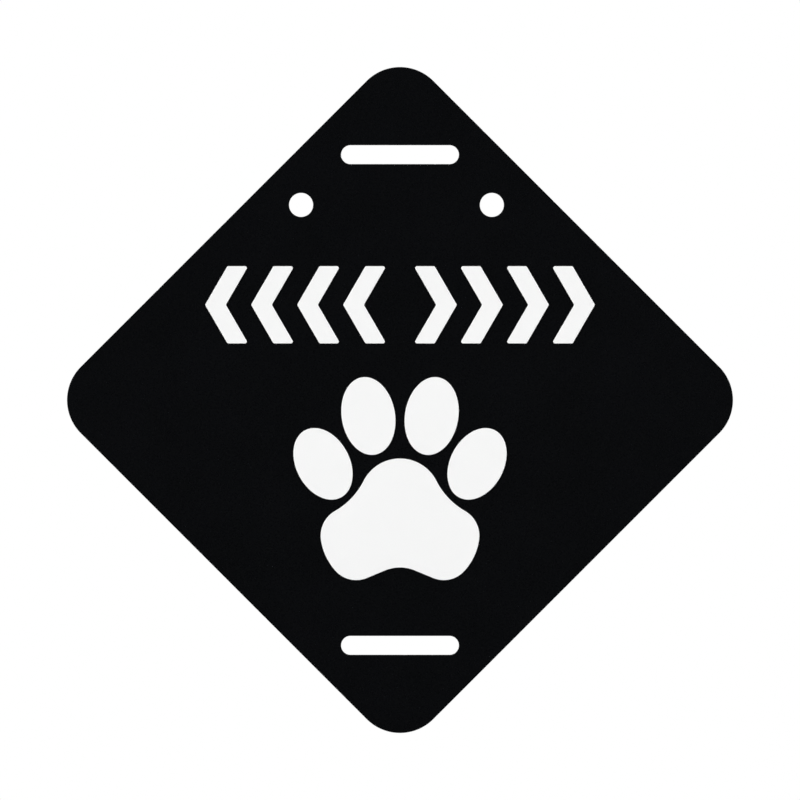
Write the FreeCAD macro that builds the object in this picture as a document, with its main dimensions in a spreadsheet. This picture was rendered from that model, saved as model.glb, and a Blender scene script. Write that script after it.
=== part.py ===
# Diamond trail marker: a routed sandwich panel with reflective film symbols bonded to its face.
# Frame: +Z is up, the face looks along -Y, and the origin is the centre of the back face.
# Lengths are millimetres and angles are degrees.
import FreeCAD, Part
import os
from enum import IntEnum
from math import asin, atan2, cos, hypot, pi, sin, sqrt

import Sketcher
from FreeCAD import Rotation, Vector

# Each driving size: its name, its value and what it measures.
SIZES = (
    ("side_length", 127.0, "side of the diamond, between its sharp corners"),
    ("corner_radius", 12.0, "rounding of the diamond's four corners"),
    ("skin_thickness", 0.3, "front and rear aluminium skins"),
    ("core_thickness", 2.4, "plastic core between the skins"),
    ("slot_length", 30.0, "strap slot, end to end"),
    ("slot_width", 4.8, "strap slot, across"),
    ("slot_inset", 27.3, "slot's middle line from the diamond's sharp corner"),
    ("hole_diameter", 6.1, "screw holes"),
    ("hole_spacing", 48.6, "between the two holes' centres"),
    ("hole_drop", 12.8, "screw holes below the upper slot's middle line"),
    ("hole_offset", 0.9, "middle of the pair of holes to the left of the panel's middle line"),
    ("film_thickness", 0.4, "reflective film with its adhesive"),
    ("film_corner_radius", 0.5, "rounding of the film's cut corners"),
    ("chevron_height", 19.7, "chevron, tail to tail"),
    ("chevron_stroke", 5.3, "chevron's arm, measured along the row"),
    ("chevron_reach", 5.7, "how far a chevron's point stands ahead of its tails"),
    ("row_gap", 7.0, "clear space between the left and right chevrons"),
    ("row_margin", 8.3, "outermost chevrons' tails from the panel's edge"),
    ("row_offset", 2.0, "chevron row below the middle of the space between the holes and the toes"),
    ("dome_drop", 25.3, "centre of the paw pad's dome below the panel's centre"),
    ("dome_radius", 10.4, "top of the paw pad"),
    ("shoulder_radius", 18.3, "hollow between the dome and a side lobe"),
    ("side_lobe_radius", 7.3, "side lobe of the paw pad"),
    ("side_lobe_drop", 9.3, "side lobe's centre below the dome's"),
    ("flank_radius", 14.9, "flank between a side lobe and a heel lobe"),
    ("flank_offset", 5.4, "flank's centre from the middle line"),
    ("flank_drop", 8.2, "flank's centre below the dome's"),
    ("heel_radius", 7.0, "heel lobe of the paw pad"),
    ("heel_drop", 13.6, "heel lobe's centre below the dome's"),
    ("notch_radius", 9.9, "hollow between the two heel lobes"),
    ("notch_run", 5.1, "straight run between a heel lobe and that hollow"),
    ("toe_width", 13.6, "every toe, across"),
    ("inner_toe_length", 20.0, "inner toes, tip to tip"),
    ("outer_toe_length", 19.4, "outer toes, tip to tip"),
    ("inner_toe_tilt", 9.6, "inner toes' lean away from upright"),
    ("outer_toe_tilt", 28.3, "outer toes' lean away from upright"),
    ("toe_gap", 3.2, "between an inner and an outer toe, if they stood side by side"),
    ("inner_toe_gap", 2.3, "between the inner toes, and between them and the dome"),
    ("outer_toe_gap", 1.5, "between an outer toe and the dome, if it pointed straight at it"),
)
CHEVRONS_PER_SIDE = 4
VOLUME_TOLERANCE = 1e-6

# Places worked out from the sizes. A rise is a height above the panel's centre.
PANEL = "(2 * Sizes.skin_thickness + Sizes.core_thickness)"
TIP_RISE = "(Sizes.side_length / sqrt(2))"
SLOT_RISE = f"({TIP_RISE} - Sizes.slot_inset)"
HOLE_RISE = f"({SLOT_RISE} - Sizes.hole_drop)"


class At(IntEnum):
    """A sketch's own numbers for the points of a curve."""

    START = 1
    END = 2
    CENTRE = 3


class Axis(IntEnum):
    """A sketch's own numbers for its two axes."""

    LEVEL = -1
    UPRIGHT = -2


ORIGIN = (Axis.LEVEL, At.START)

doc = FreeCAD.newDocument("TrailMarker")
sheet = doc.addObject("Spreadsheet::Sheet", "Sizes")
for row, (alias, value, note) in enumerate(SIZES, start=1):
    sheet.set(f"A{row}", note)
    sheet.set(f"B{row}", str(value))
    sheet.setAlias(f"B{row}", alias)
doc.recompute()


def size(alias):
    """A driving size, read from the sheet."""
    return float(getattr(sheet, alias))


# Helpers for bodies, sketches and features


def new_body(label, x="0", y="0", z="0", lean="0"):
    """An empty body, placed by expressions and turned by lean about the Y axis."""
    body = doc.addObject("PartDesign::Body", label)
    body.Label = label
    body.Placement.Rotation = Rotation(Vector(0, 1, 0), 1)
    for path, expression in (("Base.x", x), ("Base.y", y), ("Base.z", z), ("Rotation.Angle", lean)):
        body.setExpression("Placement." + path, expression)
    return body


def origin_plane(body, role):
    """One of the body's own three planes."""
    return next(plane for plane in body.Origin.OriginFeatures if plane.Role == role)


def new_sketch(body, name):
    """An empty sketch on the body's upright plane: its x is X, its y is Z and it faces -Y."""
    sketch = body.newObject("Sketcher::SketchObject", name)
    sketch.AttachmentSupport = [(origin_plane(body, "XZ_Plane"), "")]
    sketch.MapMode = "FlatFace"
    return sketch


def add_arc(sketch, centre, first, second):
    """An arc about centre, anticlockwise from the first point to the second."""
    start = atan2(first.y - centre.y, first.x - centre.x)
    end = atan2(second.y - centre.y, second.x - centre.x)
    circle = Part.Circle(centre, Vector(0, 0, 1), (first - centre).Length)
    return sketch.addGeometry(Part.ArcOfCircle(circle, start, end if end > start else end + 2 * pi))


def add_line(sketch, first, second):
    return sketch.addGeometry(Part.LineSegment(first, second))


def constrain(sketch, kind, *references):
    return sketch.addConstraint(Sketcher.Constraint(kind, *references))


def dimension(sketch, name, expression, kind, *references):
    """A named dimension whose value follows an expression of the sheet's sizes."""
    value = float(sketch.evalExpression(expression))
    sketch.renameConstraint(constrain(sketch, kind, *references, value), name)
    sketch.setExpression("Constraints." + name, expression)


def join_smoothly(sketch, loop):
    """Makes the curves of a closed loop tangent to each other where their ends meet."""
    for one, other in zip(loop, loop[1:] + loop[:1]):
        gaps = {}
        for i in (At.START, At.END):
            for j in (At.START, At.END):
                gaps[i, j] = (sketch.getPoint(one, i) - sketch.getPoint(other, j)).Length
        i, j = min(gaps, key=gaps.get)
        constrain(sketch, "Tangent", one, i, other, j)


def pad(body, sketch, thickness):
    """Raises a sketch towards the face side."""
    feature = body.newObject("PartDesign::Pad", sketch.Name + "_pad")
    feature.Profile = sketch
    feature.setExpression("Length", thickness)
    return feature


def cut_through(body, sketch):
    """Cuts a sketch through the whole body, towards the face side."""
    feature = body.newObject("PartDesign::Pocket", sketch.Name + "_cut")
    feature.Profile = sketch
    feature.Type = "ThroughAll"
    feature.Reversed = True
    return feature


def mirror_down(body, feature):
    """Repeats a feature on the other side of the body's level plane."""
    doc.recompute()
    repeat = body.newObject("PartDesign::Mirrored", feature.Name + "_mirrored")
    repeat.Originals = [feature]
    repeat.MirrorPlane = (origin_plane(body, "XY_Plane"), [""])
    body.Tip = repeat


# The panel's three layers


def diamond_sketch(body):
    """A square standing on its corner, with four round corners."""
    sketch = new_sketch(body, body.Label + "_outline")
    reach = "(Sizes.side_length / 2 - Sizes.corner_radius) * sqrt(2)"
    out = (size("side_length") / 2 - size("corner_radius")) * sqrt(2)
    half_chord = size("corner_radius") / sqrt(2)
    corners = []
    for x, y in ((1, 0), (0, 1), (-1, 0), (0, -1)):
        centre = Vector(x * out, y * out)
        first = centre + Vector(x + y, y - x) * half_chord
        second = centre + Vector(x - y, y + x) * half_chord
        corners.append(add_arc(sketch, centre, first, second))
    loop = []
    for one, other in zip(corners, corners[1:] + corners[:1]):
        loop += [one, add_line(sketch, sketch.getPoint(one, At.END), sketch.getPoint(other, At.START))]
    join_smoothly(sketch, loop)
    right, top, left, bottom = corners
    dimension(sketch, "corner", "Sizes.corner_radius", "Radius", right)
    for corner in (top, left, bottom):
        constrain(sketch, "Equal", right, corner)
    for corner in (right, left):
        constrain(sketch, "PointOnObject", corner, At.CENTRE, Axis.LEVEL)
    for corner in (top, bottom):
        constrain(sketch, "PointOnObject", corner, At.CENTRE, Axis.UPRIGHT)
    dimension(sketch, "right_reach", reach, "DistanceX", *ORIGIN, right, At.CENTRE)
    dimension(sketch, "left_reach", reach, "DistanceX", left, At.CENTRE, *ORIGIN)
    dimension(sketch, "top_reach", reach, "DistanceY", *ORIGIN, top, At.CENTRE)
    dimension(sketch, "bottom_reach", reach, "DistanceY", bottom, At.CENTRE, *ORIGIN)
    return sketch


def slot_sketch(body):
    """The upper strap slot, with half-round ends."""
    sketch = new_sketch(body, body.Label + "_strap_slot")
    radius = size("slot_width") / 2
    half = size("slot_length") / 2 - radius
    rise = float(sketch.evalExpression(SLOT_RISE))
    top, bottom = rise + radius, rise - radius
    right = add_arc(sketch, Vector(half, rise), Vector(half, bottom), Vector(half, top))
    upper = add_line(sketch, Vector(half, top), Vector(-half, top))
    left = add_arc(sketch, Vector(-half, rise), Vector(-half, top), Vector(-half, bottom))
    lower = add_line(sketch, Vector(-half, bottom), Vector(half, bottom))
    join_smoothly(sketch, [right, upper, left, lower])
    constrain(sketch, "Equal", right, left)
    constrain(sketch, "Symmetric", left, At.CENTRE, right, At.CENTRE, Axis.UPRIGHT)
    straight = "Sizes.slot_length - Sizes.slot_width"
    dimension(sketch, "end_radius", "Sizes.slot_width / 2", "Radius", right)
    dimension(sketch, "end_spacing", straight, "DistanceX", left, At.CENTRE, right, At.CENTRE)
    dimension(sketch, "rise", SLOT_RISE, "DistanceY", *ORIGIN, right, At.CENTRE)
    return sketch


def holes_sketch(body):
    """The pair of screw holes, a little to the left of the middle line."""
    sketch = new_sketch(body, body.Label + "_screw_holes")
    rise = float(sketch.evalExpression(HOLE_RISE))
    half, offset = size("hole_spacing") / 2, size("hole_offset")
    left, right = (
        sketch.addGeometry(Part.Circle(Vector(x, rise), Vector(0, 0, 1), size("hole_diameter") / 2))
        for x in (-half - offset, half - offset)
    )
    constrain(sketch, "Equal", left, right)
    constrain(sketch, "Horizontal", left, At.CENTRE, right, At.CENTRE)
    reach = "Sizes.hole_spacing / 2 - Sizes.hole_offset"
    dimension(sketch, "diameter", "Sizes.hole_diameter", "Diameter", right)
    dimension(sketch, "spacing", "Sizes.hole_spacing", "DistanceX", left, At.CENTRE, right, At.CENTRE)
    dimension(sketch, "right_reach", reach, "DistanceX", *ORIGIN, right, At.CENTRE)
    dimension(sketch, "rise", HOLE_RISE, "DistanceY", *ORIGIN, right, At.CENTRE)
    return sketch


def panel_layer(label, thickness, behind):
    """One layer of the sandwich; the slots and holes are routed through all three alike."""
    body = new_body(label, y=f"-({behind})")
    pad(body, diamond_sketch(body), thickness)
    cut_through(body, holes_sketch(body))
    mirror_down(body, cut_through(body, slot_sketch(body)))
    return body


def panel_area():
    """The routed panel's face area, to test that every cut went through."""
    rounding = (4 - pi) * size("corner_radius") ** 2
    width = size("slot_width")
    slot = (size("slot_length") - width) * width + pi * width**2 / 4
    hole = pi * size("hole_diameter") ** 2 / 4
    return size("side_length") ** 2 - rounding - 2 * slot - 2 * hole


# The film symbols on the face


def film_body(label, x="0", z="0", lean="0"):
    """A body for one piece of film, standing on the panel's face."""
    return new_body(label, x=x, y=f"-{PANEL}", z=z, lean=lean)


def far_corner(one, one_distance, other, other_distance):
    """The point at those distances from two points, on the left of the way from one to the other."""
    way = other - one
    along = (one_distance**2 - other_distance**2 + way.Length**2) / (2 * way.Length)
    aside = sqrt(one_distance**2 - along**2)
    ahead = way / way.Length
    return one + ahead * along + Vector(-ahead.y, ahead.x) * aside


def paw_pad_sketch(body):
    """The main pad: ten arcs and two straight runs, tangent and alike on both sides of the middle line."""
    sketch = new_sketch(body, "paw_pad_outline")
    dome_radius, shoulder_radius = size("dome_radius"), size("shoulder_radius")
    side_radius, heel_radius = size("side_lobe_radius"), size("heel_radius")
    flank_radius, notch_radius, run = size("flank_radius"), size("notch_radius"), size("notch_run")
    # Centres of the right-hand arcs. Both lobes touch the flank's circle from inside.
    dome = Vector(0, -size("dome_drop"))
    flank = dome + Vector(size("flank_offset"), -size("flank_drop"))
    side_fall = size("side_lobe_drop") - size("flank_drop")
    side = flank + Vector(sqrt((flank_radius - side_radius) ** 2 - side_fall**2), -side_fall)
    heel_fall = size("heel_drop") - size("flank_drop")
    heel = flank + Vector(sqrt((flank_radius - heel_radius) ** 2 - heel_fall**2), -heel_fall)
    shoulder = far_corner(dome, dome_radius + shoulder_radius, side, side_radius + shoulder_radius)
    # The run falls from the notch to the heel lobe, with the slope that centres the notch on the middle line.
    radii = heel_radius + notch_radius
    slope = asin(heel.x / hypot(radii, run)) - atan2(run, radii)
    square_to_run = Vector(sin(slope), cos(slope))
    run_foot = heel - square_to_run * heel_radius
    run_top = run_foot + Vector(-cos(slope), sin(slope)) * run
    notch = run_top - square_to_run * notch_radius

    def toward(start, end, distance):
        return start + (end - start).normalize() * distance

    # Where neighbouring arcs meet, from the heel lobe up to the dome.
    heel_flank = toward(flank, heel, flank_radius)
    flank_side = toward(flank, side, flank_radius)
    side_shoulder = toward(side, shoulder, side_radius)
    shoulder_dome = toward(dome, shoulder, dome_radius)

    def opposite(point):
        return Vector(-point.x, point.y)

    right_arcs, left_arcs = [], []
    for centre, first, second in (
        (heel, run_foot, heel_flank),
        (flank, heel_flank, flank_side),
        (side, flank_side, side_shoulder),
        (shoulder, shoulder_dome, side_shoulder),
    ):
        right_arcs.append(add_arc(sketch, centre, first, second))
        left_arcs.append(add_arc(sketch, opposite(centre), opposite(second), opposite(first)))
    right_run = add_line(sketch, run_top, run_foot)
    left_run = add_line(sketch, opposite(run_foot), opposite(run_top))
    notch_arc = add_arc(sketch, notch, run_top, opposite(run_top))
    dome_arc = add_arc(sketch, dome, shoulder_dome, opposite(shoulder_dome))
    join_smoothly(sketch, [notch_arc, right_run, *right_arcs, dome_arc, *reversed(left_arcs), left_run])
    for one, other in zip([right_run, *right_arcs], [left_run, *left_arcs]):
        constrain(sketch, "Equal", one, other)
    heel_arc, flank_arc, side_arc, shoulder_arc = right_arcs
    left_heel_arc, left_flank_arc, left_side_arc, _ = left_arcs
    constrain(sketch, "Symmetric", flank_arc, At.CENTRE, left_flank_arc, At.CENTRE, Axis.UPRIGHT)
    constrain(sketch, "Horizontal", heel_arc, At.CENTRE, left_heel_arc, At.CENTRE)
    constrain(sketch, "Horizontal", side_arc, At.CENTRE, left_side_arc, At.CENTRE)
    constrain(sketch, "PointOnObject", dome_arc, At.CENTRE, Axis.UPRIGHT)
    dimension(sketch, "dome_drop", "Sizes.dome_drop", "DistanceY", dome_arc, At.CENTRE, *ORIGIN)
    dimension(sketch, "flank_offset", "Sizes.flank_offset", "DistanceX", *ORIGIN, flank_arc, At.CENTRE)
    for name, arc in (
        ("flank_drop", flank_arc),
        ("side_lobe_drop", side_arc),
        ("heel_drop", heel_arc),
    ):
        dimension(sketch, name, "Sizes." + name, "DistanceY", arc, At.CENTRE, dome_arc, At.CENTRE)
    for name, arc in (
        ("dome_radius", dome_arc),
        ("shoulder_radius", shoulder_arc),
        ("side_lobe_radius", side_arc),
        ("flank_radius", flank_arc),
        ("heel_radius", heel_arc),
        ("notch_radius", notch_arc),
    ):
        dimension(sketch, name, "Sizes." + name, "Radius", arc)
    dimension(sketch, "notch_run", "Sizes.notch_run", "Distance", right_run)
    return sketch


def paw_pad():
    body = film_body("paw_pad")
    pad(body, paw_pad_sketch(body), "Sizes.film_thickness")
    return body


def toe(label, length, x, z, lean):
    """An oval toe, drawn upright about its own centre."""
    body = film_body(label, x, z, lean)
    sketch = new_sketch(body, label + "_outline")
    half_length = float(sketch.evalExpression(length)) / 2
    half_width = size("toe_width") / 2
    oval = sketch.addGeometry(Part.Ellipse(Vector(0, half_length), Vector(half_width, 0), Vector(0, 0)))
    sketch.exposeInternalGeometry(oval)
    long_axis, short_axis = oval + 1, oval + 2
    constrain(sketch, "Coincident", oval, At.CENTRE, *ORIGIN)
    constrain(sketch, "Vertical", long_axis)
    dimension(sketch, "length", length, "Distance", long_axis)
    dimension(sketch, "width", "Sizes.toe_width", "Distance", short_axis)
    pad(body, sketch, "Sizes.film_thickness")
    return body


def half_extent(length, angle):
    """Half a toe's size along a line that lies at an angle to its long axis."""
    return f"sqrt(({length} / 2 * cos({angle}))^2 + (Sizes.toe_width / 2 * sin({angle}))^2)"


def inner_toe_place():
    """An inner toe's distance from the middle line, from the dome's centre and above the panel's centre."""
    across = half_extent("Sizes.inner_toe_length", "90 - Sizes.inner_toe_tilt")
    aside = f"(Sizes.inner_toe_gap / 2 + {across})"
    reach = "(Sizes.dome_radius + Sizes.inner_toe_gap + Sizes.inner_toe_length / 2)"
    rise = f"(sqrt({reach}^2 - {aside}^2) - Sizes.dome_drop)"
    return aside, reach, rise


def outer_toe_place():
    """An outer toe's distance from the middle line and above the panel's centre."""
    inner_aside, inner_reach, _ = inner_toe_place()
    reach = "(Sizes.dome_radius + Sizes.outer_toe_gap + Sizes.outer_toe_length / 2)"
    spacing = "(Sizes.toe_width + Sizes.toe_gap)"
    fan = f"acos(({inner_reach}^2 + {reach}^2 - {spacing}^2) / (2 * {inner_reach} * {reach}))"
    bearing = f"(asin({inner_aside} / {inner_reach}) + {fan})"
    return f"({reach} * sin({bearing}))", f"({reach} * cos({bearing}) - Sizes.dome_drop)"


def toes():
    """Two inner and two outer toes, fanned out above the dome."""
    inner_aside, _, inner_rise = inner_toe_place()
    outer_aside, outer_rise = outer_toe_place()
    made = []
    for side, sign in (("left", "-"), ("right", "")):
        for rank, aside, rise in (("inner", inner_aside, inner_rise), ("outer", outer_aside, outer_rise)):
            length, lean = f"Sizes.{rank}_toe_length", f"{sign}Sizes.{rank}_toe_tilt"
            made.append(toe(f"{rank}_toe_{side}", length, sign + aside, rise, lean))
    return made


def chevron_sketch(body):
    """A chevron that points to the right, with its tails cut level and their back corners at x 0."""
    sketch = new_sketch(body, body.Label + "_outline")
    half, stroke, reach = size("chevron_height") / 2, size("chevron_stroke"), size("chevron_reach")
    corners = [
        Vector(0, half),
        Vector(reach, 0),
        Vector(0, -half),
        Vector(stroke, -half),
        Vector(stroke + reach, 0),
        Vector(stroke, half),
    ]
    sides = [add_line(sketch, one, other) for one, other in zip(corners, corners[1:] + corners[:1])]
    for one, other in zip(sides, sides[1:] + sides[:1]):
        constrain(sketch, "Coincident", one, At.END, other, At.START)
    back_upper, back_lower, low_tail, front_lower, front_upper, high_tail = sides
    constrain(sketch, "PointOnObject", back_upper, At.START, Axis.UPRIGHT)
    constrain(sketch, "PointOnObject", back_upper, At.END, Axis.LEVEL)
    constrain(sketch, "PointOnObject", front_lower, At.END, Axis.LEVEL)
    constrain(sketch, "Symmetric", back_upper, At.START, back_lower, At.END, Axis.LEVEL)
    constrain(sketch, "Symmetric", front_lower, At.START, front_upper, At.END, Axis.LEVEL)
    constrain(sketch, "Horizontal", high_tail)
    constrain(sketch, "Parallel", back_upper, front_upper)
    dimension(sketch, "height", "Sizes.chevron_height", "DistanceY", back_lower, At.END, back_upper, At.START)
    dimension(sketch, "stroke", "Sizes.chevron_stroke", "DistanceX", high_tail, At.END, high_tail, At.START)
    dimension(sketch, "reach", "Sizes.chevron_reach", "DistanceX", *ORIGIN, back_upper, At.END)
    return sketch


def round_corners(body, feature, radius):
    """Rounds the edges that run through a piece of film from back to front."""
    doc.recompute()
    names = []
    for number, edge in enumerate(feature.Shape.Edges, start=1):
        first, last = edge.Vertexes[0].Point, edge.Vertexes[-1].Point
        if abs(last.y - first.y) > (last - first).Length / 2:
            names.append(f"Edge{number}")
    rounding = body.newObject("PartDesign::Fillet", feature.Name + "_rounding")
    rounding.Base = (feature, names)
    rounding.setExpression("Radius", radius)
    return rounding


def row_rise():
    """The chevron row's height, in the space between the screw holes and the inner toes' tips."""
    toe_tip = f"({inner_toe_place()[2]} + {half_extent('Sizes.inner_toe_length', 'Sizes.inner_toe_tilt')})"
    return f"(({HOLE_RISE} - Sizes.hole_diameter / 2 + {toe_tip}) / 2 - Sizes.row_offset)"


def chevrons():
    """Two groups of chevrons that point away from the middle and fill the row up to its margins."""
    rise = row_rise()
    reach = f"({TIP_RISE} - Sizes.row_margin * sqrt(2) - {rise} - Sizes.chevron_height / 2)"
    pitch = f"({reach} - Sizes.row_gap / 2 - Sizes.chevron_stroke) / {CHEVRONS_PER_SIDE - 1}"
    made = []
    for side, sign, lean in (("left", "-", "180"), ("right", "", "0")):
        for place in range(CHEVRONS_PER_SIDE):
            x = f"{sign}(Sizes.row_gap / 2 + {place} * {pitch})"
            body = film_body(f"chevron_{side}_{place + 1}", x, rise, lean)
            blank = pad(body, chevron_sketch(body), "Sizes.film_thickness")
            round_corners(body, blank, "Sizes.film_corner_radius")
            made.append(body)
    return made


# Build, test and write


def check(pieces, layers):
    """Stops the build if an object failed, a piece isn't one sound solid or a cut missed."""
    failed = [item.Label for item in doc.Objects if {"Invalid", "Error"} & set(item.State)]
    assert not failed, f"failed objects: {failed}"
    sketches = doc.findObjects("Sketcher::SketchObject")
    loose = [sketch.Label for sketch in sketches if not sketch.FullyConstrained]
    assert not loose, f"sketches that aren't fully constrained: {loose}"
    for piece in pieces:
        shape = piece.Shape
        sound = not shape.isNull() and shape.isValid() and len(shape.Solids) == 1 and shape.Volume > 0
        assert sound, f"{piece.Label} isn't one sound solid"
    for layer, thickness in layers:
        share = layer.Shape.Volume / (panel_area() * thickness)
        assert abs(share - 1) < VOLUME_TOLERANCE, f"{layer.Label} has a cut that missed"


rear_skin = panel_layer("rear_skin", "Sizes.skin_thickness", "0")
panel_core = panel_layer("panel_core", "Sizes.core_thickness", "Sizes.skin_thickness")
front_skin = panel_layer("front_skin", "Sizes.skin_thickness", "Sizes.skin_thickness + Sizes.core_thickness")
pieces = [rear_skin, panel_core, front_skin, paw_pad(), *toes(), *chevrons()]
doc.recompute()
skin, core = size("skin_thickness"), size("core_thickness")
check(pieces, [(rear_skin, skin), (panel_core, core), (front_skin, skin)])

os.makedirs("parts", exist_ok=True)
for piece in pieces:
    piece.Shape.exportStep(f"parts/{piece.Label}.step")
    box = piece.Shape.BoundBox
    extent = f"{box.XLength:.2f} x {box.YLength:.2f} x {box.ZLength:.2f} mm"
    print(f"{piece.Label}: {extent}, {piece.Shape.Volume:.1f} mm3")
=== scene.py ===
# Dresses the diamond trail marker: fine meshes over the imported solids, procedural finishes and studio light.
# Lengths are metres in the frame's own axes: +Z up, and the marker's face looks along -Y.
import math

import bmesh
import bpy
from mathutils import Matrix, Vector


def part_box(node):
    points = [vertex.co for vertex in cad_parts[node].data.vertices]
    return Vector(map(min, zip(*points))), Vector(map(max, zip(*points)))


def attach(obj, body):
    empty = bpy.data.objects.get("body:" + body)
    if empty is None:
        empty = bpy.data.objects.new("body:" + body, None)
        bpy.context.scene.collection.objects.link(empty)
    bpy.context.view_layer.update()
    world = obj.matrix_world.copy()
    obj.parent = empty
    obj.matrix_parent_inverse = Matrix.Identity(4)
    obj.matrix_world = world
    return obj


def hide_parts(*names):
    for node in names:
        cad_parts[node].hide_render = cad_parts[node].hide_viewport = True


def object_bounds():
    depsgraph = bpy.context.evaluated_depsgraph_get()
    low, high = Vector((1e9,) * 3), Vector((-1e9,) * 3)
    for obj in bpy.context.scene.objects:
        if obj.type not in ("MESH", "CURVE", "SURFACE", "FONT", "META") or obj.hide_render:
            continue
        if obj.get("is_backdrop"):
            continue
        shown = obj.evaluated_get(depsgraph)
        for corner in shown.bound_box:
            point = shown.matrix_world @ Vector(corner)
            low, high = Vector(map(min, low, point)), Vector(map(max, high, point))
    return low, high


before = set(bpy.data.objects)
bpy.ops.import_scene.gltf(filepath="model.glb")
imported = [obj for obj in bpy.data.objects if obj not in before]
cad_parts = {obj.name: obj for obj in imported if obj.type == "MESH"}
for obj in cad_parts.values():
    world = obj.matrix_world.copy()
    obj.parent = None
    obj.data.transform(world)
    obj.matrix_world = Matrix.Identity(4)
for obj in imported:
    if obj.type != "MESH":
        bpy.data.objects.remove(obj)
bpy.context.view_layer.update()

MM = 0.001
LAYERS = ("front_skin", "panel_core", "rear_skin")
FILM = sorted(set(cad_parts) - set(LAYERS))

# The photograph's frame, in pixels
IMAGE_SIDE = 800
MARKER_HEIGHT = 666

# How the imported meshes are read
WELD = 0.001 * MM  # corners closer than this are one
SQUARE_ON = 0.99  # a face belongs to the front if its normal points there at least this much
STRAIGHT = math.radians(1)  # a chord whose arc turns by less than this is a straight run
LONGEST_CHORD = 2  # a chord over this many times as long as the shortest is a straight run

# How the fine meshes are made
ARC_STEPS = 4  # each chord of a packed arc becomes this many
ROUNDING_STEPS = 3
SKIN_ROUNDING = 0.06 * MM  # deburred edge of a skin
FILM_ROUNDING = 0.12 * MM  # cut edge of the film
CORE_SETBACK = 0.05 * MM  # the routed core lies this far behind the skins' edges
ROUNDED_RIM, CUT_EDGE = 1, 2  # places among a sheet's finishes, after 0 for its flat faces

# Values of soft noise: most of it lies in the first range, and only its peaks reach the second
NOISE_RANGE = (0.3, 0.7)
NOISE_PEAKS = (0.68, 0.74)

# The studio
FLOOR_RADIUS = 1.2
FLOOR_SOLID = 0.3  # the floor fades out into the backdrop from this radius on
BACKDROP_LIGHT = 0.7  # strength of the backdrop as a light, where its own white is 1
BACKDROP_DIM = 0.04  # strength of the backdrop where it is dimmest, behind the camera
BACKDROP_FADE = (-0.95, 0.2)  # from dimmest to white, where -1 is behind the camera and 1 behind the marker
CAMERA_DISTANCE = 2.0


# Outlines, as closed lists of points (x, z)


def chords(loop):
    """Each point of an outline with the next one."""
    return zip(loop, loop[1:] + loop[:1])


def corners(loop):
    """Each point of an outline between the one before it and the next."""
    return zip(loop[-1:] + loop[:-1], loop, loop[1:] + loop[:1])


def signed_area(loop):
    """An outline's area, positive where it runs anticlockwise seen from the front."""
    return sum(one.x * other.y - one.y * other.x for one, other in chords(loop)) / 2


def rim_neighbours(solid):
    """Each corner on the rims of a solid's front face, with its two neighbours along the rim."""
    neighbours = {}
    for edge in solid.edges:
        if sum(face.normal.y < -SQUARE_ON for face in edge.link_faces) == 1:
            one, other = edge.verts
            neighbours.setdefault(one, []).append(other)
            neighbours.setdefault(other, []).append(one)
    return neighbours


def walk_rims(neighbours):
    """The outlines that the corners make, found by walking from neighbour to neighbour."""
    loops = []
    while neighbours:
        start = previous = next(iter(neighbours))
        here = neighbours[start][0]
        points = [start.co.xz]
        while here != start:
            points.append(here.co.xz)
            one, other = neighbours.pop(here)
            here, previous = (other if one == previous else one), here
        del neighbours[start]
        loops.append(points)
    return loops


def front_outlines(node):
    """The outlines of a node's front face: the outer one anticlockwise, then its openings clockwise."""
    solid = bmesh.new()
    solid.from_mesh(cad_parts[node].data)
    bmesh.ops.remove_doubles(solid, verts=solid.verts, dist=WELD)
    solid.normal_update()
    loops = walk_rims(rim_neighbours(solid))
    solid.free()
    loops.sort(key=lambda loop: -abs(signed_area(loop)))
    for loop in loops:
        is_outer = loop is loops[0]
        is_anticlockwise = signed_area(loop) > 0
        if is_anticlockwise != is_outer:
            loop.reverse()
    return loops


def turns(loop):
    """The angle by which an outline turns at each point, positive to the left."""
    found = []
    for before, here, after in corners(loop):
        arriving, leaving = here - before, after - here
        cross = arriving.x * leaving.y - arriving.y * leaving.x
        found.append(math.atan2(cross, arriving.dot(leaving)))
    return found


def arc_angles(loop):
    """The angle of the arc behind each chord of an outline that is made of tangent arcs and straight runs.

    At each point the outline turns by half the sum of the two arcs that meet there, so one known chord gives
    all the others. A chord far longer than the rest is a straight run; chords all alike make a circle."""
    lengths = [(other - one).length for one, other in chords(loop)]
    turned = turns(loop)
    start = lengths.index(max(lengths))
    is_straight = lengths[start] > LONGEST_CHORD * min(lengths)
    angles = [0.0] * len(loop)
    angles[start] = 0.0 if is_straight else turned[start]
    for step in range(1, len(loop)):
        place = (start + step) % len(loop)
        angles[place] = 2 * turned[place] - angles[place - 1]
    return angles


def with_fine_arcs(loop):
    """The same outline with each curved chord divided along its own arc."""
    fine = []
    for (one, other), angle in zip(chords(loop), arc_angles(loop)):
        fine.append(one)
        if abs(angle) < STRAIGHT:
            continue
        middle, along = (one + other) / 2, (other - one) / 2
        outward = Vector((along.y, -along.x))
        half = angle / 2
        for step in range(1, ARC_STEPS):
            swing = half * (2 * step / ARC_STEPS - 1)
            rise = (math.cos(swing) - math.cos(half)) / math.sin(half)
            fine.append(middle + along * math.sin(swing) / math.sin(half) + outward * rise)
    return fine


def inset(loop, distance):
    """An outline moved by a distance to its left, which is into the material."""
    moved = []
    for (before, here, after), turn in zip(corners(loop), turns(loop)):
        along = (here - before).normalized() + (after - here).normalized()
        left = Vector((-along.y, along.x)).normalized()
        moved.append(here + left * distance / math.cos(turn / 2))
    return moved


# Meshes


def rim_profile(rounding):
    """A rim from its flat face outwards: pairs of a distance into the material and one below the face."""
    if rounding == 0:
        return [(0.0, 0.0)]
    profile = []
    for step in range(ROUNDING_STEPS + 1):
        angle = math.radians(90) * step / ROUNDING_STEPS
        profile.append((rounding * (1 - math.sin(angle)), rounding * (1 - math.cos(angle))))
    return profile


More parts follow.
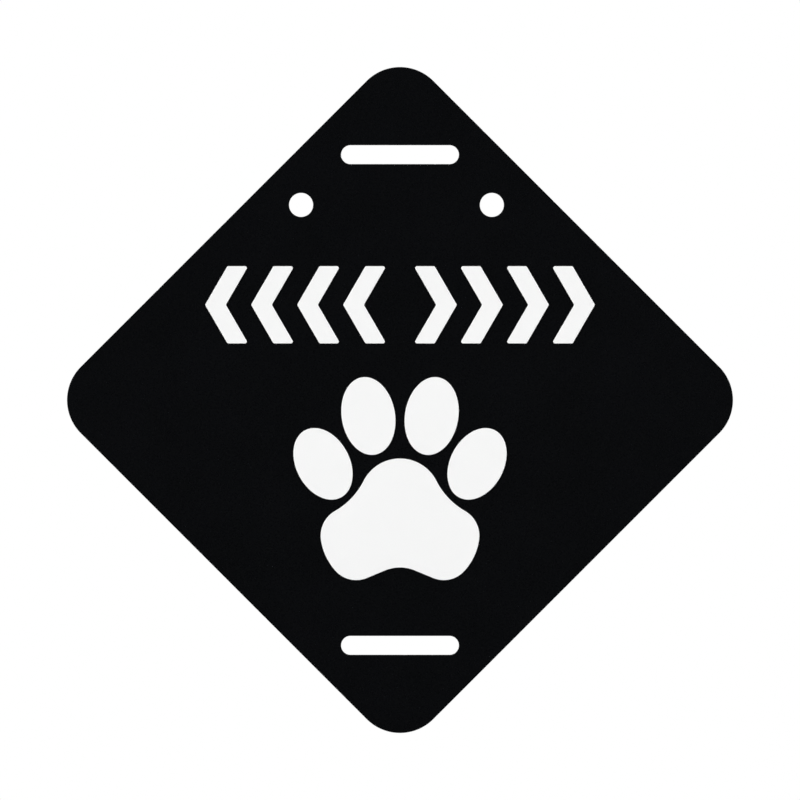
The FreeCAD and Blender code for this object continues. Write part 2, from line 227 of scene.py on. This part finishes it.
def edge_profile(front, back, front_rounding, back_rounding, setback):
    """How an edge runs from the front face to the back: pairs of a distance into the material and a y."""
    front_rim = [(setback + into, front + depth) for into, depth in rim_profile(front_rounding)]
    back_rim = [(setback + into, back - depth) for into, depth in rim_profile(back_rounding)]
    return front_rim + back_rim[::-1]


def ring_edges(solid, ring):
    """The edges of a mesh that join a ring of its corners."""
    return [solid.edges.get((ring[corner - 1], ring[corner])) for corner in range(len(ring))]


def sheet_mesh(name, node, outlines, roundings, setback):
    """A closed flat sheet as thick as a node, with its rims rounded at the front and at the back."""
    low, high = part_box(node)
    profile = edge_profile(low.y, high.y, *roundings, setback)
    solid = bmesh.new()
    front_rims, back_rims = [], []
    for loop in outlines:
        rings = []
        for into, y in profile:
            rings.append([solid.verts.new((point.x, y, point.y)) for point in inset(loop, into)])
        for place, (ring, behind) in enumerate(zip(rings, rings[1:])):
            is_wall = profile[place][0] == profile[place + 1][0]
            for corner in range(len(ring)):
                quad = (ring[corner - 1], ring[corner], behind[corner], behind[corner - 1])
                side = solid.faces.new(quad)
                side.smooth = True
                side.material_index = CUT_EDGE if is_wall else ROUNDED_RIM
        front_rims += ring_edges(solid, rings[0])
        back_rims += ring_edges(solid, rings[-1])
    for rims in (front_rims, back_rims):
        bmesh.ops.triangle_fill(solid, edges=rims, use_beauty=True)
    bmesh.ops.recalc_face_normals(solid, faces=solid.faces)
    mesh = bpy.data.meshes.new(name)
    solid.to_mesh(mesh)
    solid.free()
    return mesh


def sheet_piece(name, node, outlines, finishes, roundings=(0.0, 0.0), setback=0.0):
    """A sheet that stands for a node; its finishes are for its flat faces, rounded rims and cut edges."""
    mesh = sheet_mesh(name, node, outlines, roundings, setback)
    for finish in finishes:
        mesh.materials.append(finish)
    piece = bpy.data.objects.new(name, mesh)
    bpy.context.scene.collection.objects.link(piece)
    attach(piece, "root")
    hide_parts(node)


# Finishes


def add_node(tree, kind, inputs, **settings):
    """A new shader node. An input is a plain value or another node's output."""
    made = tree.nodes.new(kind)
    for name, value in settings.items():
        setattr(made, name, value)
    for name, value in inputs.items():
        if isinstance(value, bpy.types.NodeSocket):
            tree.links.new(value, made.inputs[name])
        else:
            made.inputs[name].default_value = value
    return made


def combine(tree, operation, one, other):
    """The outcome of an operation on two values, held between 0 and 1."""
    inputs = {0: one, 1: other}
    return add_node(tree, "ShaderNodeMath", inputs, operation=operation, use_clamp=True).outputs["Value"]


def remap(tree, value, low, high, within):
    """A value taken from the range that it lies within to another, and held there beyond its ends."""
    start, end = within
    inputs = {"Value": value, "From Min": start, "From Max": end, "To Min": low, "To Max": high}
    return add_node(tree, "ShaderNodeMapRange", inputs).outputs["Result"]


def even(size):
    """The same size along X, Y and Z."""
    return (size, size, size)


class Finish:
    """A node material around one main shader, textured in the frame's own metres."""

    def __init__(self, name):
        self.material = bpy.data.materials.new(name)
        self.material.use_nodes = True
        self.tree = self.material.node_tree
        self.shader = self.tree.nodes["Principled BSDF"]
        self.place = add_node(self.tree, "ShaderNodeTexCoord", {}).outputs["Object"]

    def set(self, values):
        """Sets sockets of the main shader that are the same all over."""
        for socket, value in values.items():
            self.shader.inputs[socket].default_value = value

    def vary(self, socket, value):
        """Links a socket of the main shader to a value that varies over the surface."""
        self.tree.links.new(value, self.shader.inputs[socket])

    def noise(self, size, detail=2.0, tilt=0.0):
        """Soft noise with features of the given size along X, Y and Z, turned about Y."""
        grain = {"Vector": self.place, "Rotation": (0, tilt, 0), "Scale": size}
        stretched = add_node(self.tree, "ShaderNodeMapping", grain, vector_type="TEXTURE").outputs["Vector"]
        inputs = {"Vector": stretched, "Scale": 1.0, "Detail": detail}
        return add_node(self.tree, "ShaderNodeTexNoise", inputs).outputs["Fac"]

    def ranged(self, value, low, high, within=NOISE_RANGE):
        """A value, by default of noise, taken to another range."""
        return remap(self.tree, value, low, high, within)

    def colour(self, value, low, high):
        """A base colour between two others."""
        ramp = add_node(self.tree, "ShaderNodeValToRGB", {"Fac": value})
        for element, position, tint in zip(ramp.color_ramp.elements, NOISE_RANGE, (low, high)):
            element.position = position
            element.color = (*tint, 1)
        self.vary("Base Color", ramp.outputs["Color"])

    def relief(self, *layers):
        """Bumps the surface by layers of a texture and its height in metres, the coarsest first."""
        beneath = {}
        for height, depth in layers:
            inputs = {"Height": height, "Distance": depth, "Strength": 1.0, **beneath}
            beneath = {"Normal": add_node(self.tree, "ShaderNodeBump", inputs).outputs["Normal"]}
        self.vary("Normal", beneath["Normal"])


def black_coating():
    """Satin coil coating with a faint orange peel, and hair scratches that only catch the light."""
    finish = Finish("satin_black_coating")
    finish.set({"Specular IOR Level": 0.2})
    cloud = finish.noise(even(18 * MM))
    peel = finish.noise(even(1.8 * MM))
    stipple = finish.noise(even(0.35 * MM))
    scratch = finish.noise((0.1 * MM, 30 * MM, 30 * MM), tilt=0.5)
    mark = finish.ranged(scratch, 0.0, 0.12, within=NOISE_PEAKS)
    finish.colour(cloud, (0.0013, 0.0016, 0.0021), (0.0017, 0.0020, 0.0027))
    finish.vary("Roughness", combine(finish.tree, "ADD", finish.ranged(stipple, 0.25, 0.34), mark))
    finish.relief((peel, 0.04 * MM), (stipple, 0.005 * MM), (mark, 0.004 * MM))
    return finish.material


def worn_rim():
    """The coating's rim, rubbed through to the metal in places."""
    finish = Finish("worn_coating_rim")
    rubbed = finish.ranged(finish.noise(even(1.6 * MM), detail=4.0), 0.0, 1.0, within=(0.58, 0.68))
    finish.colour(rubbed, (0.0015, 0.0018, 0.0024), (0.55, 0.56, 0.57))
    finish.vary("Metallic", rubbed)
    finish.vary("Roughness", finish.ranged(rubbed, 0.3, 0.45, within=(0.0, 1.0)))
    finish.relief((rubbed, -0.01 * MM))
    return finish.material


def white_film():
    """Beaded reflective film: very fine grain under a clear topcoat."""
    finish = Finish("white_beaded_film")
    finish.set({"Coat Weight": 0.3, "Coat Roughness": 0.12})
    cloud = finish.noise(even(9 * MM), detail=4.0)
    bead = finish.noise(even(0.2 * MM))
    finish.colour(bead, (0.905, 0.91, 0.91), (0.945, 0.945, 0.94))
    finish.vary("Roughness", finish.ranged(cloud, 0.42, 0.5))
    finish.relief((cloud, 0.05 * MM), (bead, 0.02 * MM))
    return finish.material


def film_edge():
    """The film's cut edge, where its layers and adhesive show a little greyer."""
    finish = Finish("film_cut_edge")
    layer = finish.noise((6 * MM, 0.08 * MM, 6 * MM))
    finish.colour(layer, (0.62, 0.62, 0.6), (0.82, 0.82, 0.81))
    finish.vary("Roughness", finish.ranged(layer, 0.5, 0.65))
    finish.relief((layer, 0.01 * MM))
    return finish.material


def routed_metal():
    """A skin's routed edge: bright aluminium with cutter marks across it."""
    finish = Finish("routed_aluminium")
    finish.set({"Metallic": 1.0})
    marks = finish.noise((0.15 * MM, 4 * MM, 0.15 * MM), detail=3.0)
    finish.colour(marks, (0.70, 0.71, 0.72), (0.86, 0.87, 0.88))
    finish.vary("Roughness", finish.ranged(marks, 0.25, 0.42))
    finish.relief((marks, 0.02 * MM))
    return finish.material


def core_plastic():
    """Black polyethylene, matte and finely ridged where the cutter ran."""
    finish = Finish("core_polyethylene")
    ridges = finish.noise((0.3 * MM, 5 * MM, 0.3 * MM), detail=3.0)
    fleck = finish.noise(even(0.4 * MM), detail=3.0)
    finish.colour(fleck, (0.008, 0.008, 0.009), (0.019, 0.019, 0.020))
    finish.vary("Roughness", finish.ranged(ridges, 0.45, 0.7))
    finish.relief((ridges, 0.08 * MM), (fleck, 0.02 * MM))
    return finish.material


def mill_metal():
    """The plain rear skin: mill-finish aluminium with its rolling grain and some handling scuffs."""
    finish = Finish("mill_aluminium")
    finish.set({"Metallic": 1.0, "Anisotropic": 0.35})
    along_side = math.radians(45)
    grain = finish.noise((0.1 * MM, 9 * MM, 20 * MM), detail=3.0, tilt=along_side)
    streak = finish.noise((0.7 * MM, 30 * MM, 45 * MM), detail=3.0, tilt=along_side)
    scuff = finish.noise((22 * MM, 22 * MM, 0.16 * MM), tilt=0.2)
    mark = finish.ranged(scuff, 0.0, 0.2, within=NOISE_PEAKS)
    finish.colour(streak, (0.52, 0.53, 0.54), (0.64, 0.65, 0.66))
    finish.vary("Roughness", combine(finish.tree, "ADD", finish.ranged(grain, 0.24, 0.4), mark))
    finish.relief((streak, 0.01 * MM), (grain, 0.008 * MM), (scuff, 0.004 * MM))
    return finish.material


def pale_floor():
    """Matte and nearly even, faded out with distance and see-through from below."""
    finish = Finish("pale_floor")
    finish.set({"Roughness": 0.9})
    finish.colour(finish.noise(even(4 * MM)), (0.735, 0.735, 0.735), (0.745, 0.745, 0.745))
    away = add_node(finish.tree, "ShaderNodeVectorMath", {0: finish.place}, operation="LENGTH")
    solid = finish.ranged(away.outputs["Value"], 1.0, 0.0, within=(FLOOR_SOLID, FLOOR_RADIUS))
    underside = add_node(finish.tree, "ShaderNodeNewGeometry", {}).outputs["Backfacing"]
    finish.vary("Alpha", combine(finish.tree, "SUBTRACT", solid, underside))
    return finish.material


# The marker


def dress_panel():
    """The three layers of the panel, each with the openings routed through it."""
    outlines = [with_fine_arcs(loop) for loop in front_outlines("front_skin")]
    cut_metal, plastic, mill = routed_metal(), core_plastic(), mill_metal()
    front = (black_coating(), worn_rim(), cut_metal)
    core = (plastic, plastic, plastic)
    rear = (mill, mill, cut_metal)
    front_rounding, rear_rounding = (SKIN_ROUNDING, 0.0), (0.0, SKIN_ROUNDING)
    sheet_piece("coated_front_skin", "front_skin", outlines, front, front_rounding)
    sheet_piece("routed_core", "panel_core", outlines, core, setback=CORE_SETBACK)
    sheet_piece("mill_rear_skin", "rear_skin", outlines, rear, rear_rounding)


def dress_film():
    """Every piece of film on the face. The paw's packed outlines are fine already, the chevrons' coarser."""
    white, cut = white_film(), film_edge()
    for node in FILM:
        outlines = front_outlines(node)
        if node.startswith("chevron"):
            outlines = [with_fine_arcs(loop) for loop in outlines]
        sheet_piece("film_" + node, node, outlines, (white, white, cut), (FILM_ROUNDING, 0.0))


# The studio


def add_floor():
    """A floor under the marker's lower corner, left out of reflections so that the face stays black."""
    low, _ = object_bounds()
    place = (0, 0, low.z)
    bpy.ops.mesh.primitive_circle_add(vertices=128, radius=FLOOR_RADIUS, fill_type="NGON", location=place)
    floor = bpy.context.object
    floor.name = "floor"
    floor.visible_glossy = False
    floor.data.materials.append(pale_floor())
    floor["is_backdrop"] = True


def add_softbox(name, place, width, watts):
    """A square soft light that faces the marker's middle."""
    data = bpy.data.lights.new(name, "AREA")
    data.shape = "SQUARE"
    data.size = width
    data.energy = watts
    lamp = bpy.data.objects.new(name, data)
    lamp.location = place
    lamp.rotation_euler = (-Vector(place)).to_track_quat("-Z", "Y").to_euler()
    lamp.visible_camera = False
    bpy.context.scene.collection.objects.link(lamp)


def add_lights():
    """Softboxes well off to the sides, so that the black face mirrors none of them towards the camera."""
    for side, sign in (("left", -1), ("right", 1)):
        add_softbox("front_" + side, place=(sign * 1.0, -0.7, 0.35), width=0.7, watts=9)
        add_softbox("rear_" + side, place=(sign * 0.9, 0.8, 0.5), width=0.7, watts=4)
    add_softbox("overhead", place=(0, -0.15, 1.3), width=0.9, watts=2)


def add_world():
    """A white backdrop that fades to dim behind the camera, where the black face would mirror it.

    The camera sees it white all round, and what it lights gets less than what mirrors it."""
    world = bpy.data.worlds.new("studio")
    bpy.context.scene.world = world
    world.use_nodes = True
    tree = world.node_tree
    tree.nodes.clear()
    direction = add_node(tree, "ShaderNodeTexCoord", {}).outputs["Generated"]
    depth = add_node(tree, "ShaderNodeSeparateXYZ", {"Vector": direction}).outputs["Y"]
    mirrored = remap(tree, depth, BACKDROP_DIM, 1.0, within=BACKDROP_FADE)
    light = combine(tree, "MULTIPLY", mirrored, BACKDROP_LIGHT)
    ray = add_node(tree, "ShaderNodeLightPath", {}).outputs
    mirrors = combine(tree, "MAXIMUM", ray["Is Glossy Ray"], ray["Is Transmission Ray"])
    unseen = add_node(tree, "ShaderNodeMix", {"Factor": mirrors, "A": light, "B": mirrored}).outputs["Result"]
    sight = {"Factor": ray["Is Camera Ray"], "A": unseen, "B": 1.0}
    strength = add_node(tree, "ShaderNodeMix", sight).outputs["Result"]
    backdrop = add_node(tree, "ShaderNodeBackground", {"Color": (1, 1, 1, 1), "Strength": strength})
    add_node(tree, "ShaderNodeOutputWorld", {"Surface": backdrop.outputs["Background"]})


def add_camera():
    """Square on to the face, without perspective, and as far out as the photograph's framing."""
    data = bpy.data.cameras.new("camera")
    data.type = "ORTHO"
    low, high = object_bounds()
    data.ortho_scale = (high.z - low.z) * IMAGE_SIDE / MARKER_HEIGHT
    camera = bpy.data.objects.new("camera", data)
    camera.location = (0, -CAMERA_DISTANCE, 0)
    camera.rotation_euler = (math.radians(90), 0, 0)
    bpy.context.scene.collection.objects.link(camera)
    bpy.context.scene.camera = camera


dress_panel()
dress_film()
add_floor()
add_lights()
add_world()
add_camera()
bpy.context.scene.view_settings.view_transform = "Standard"
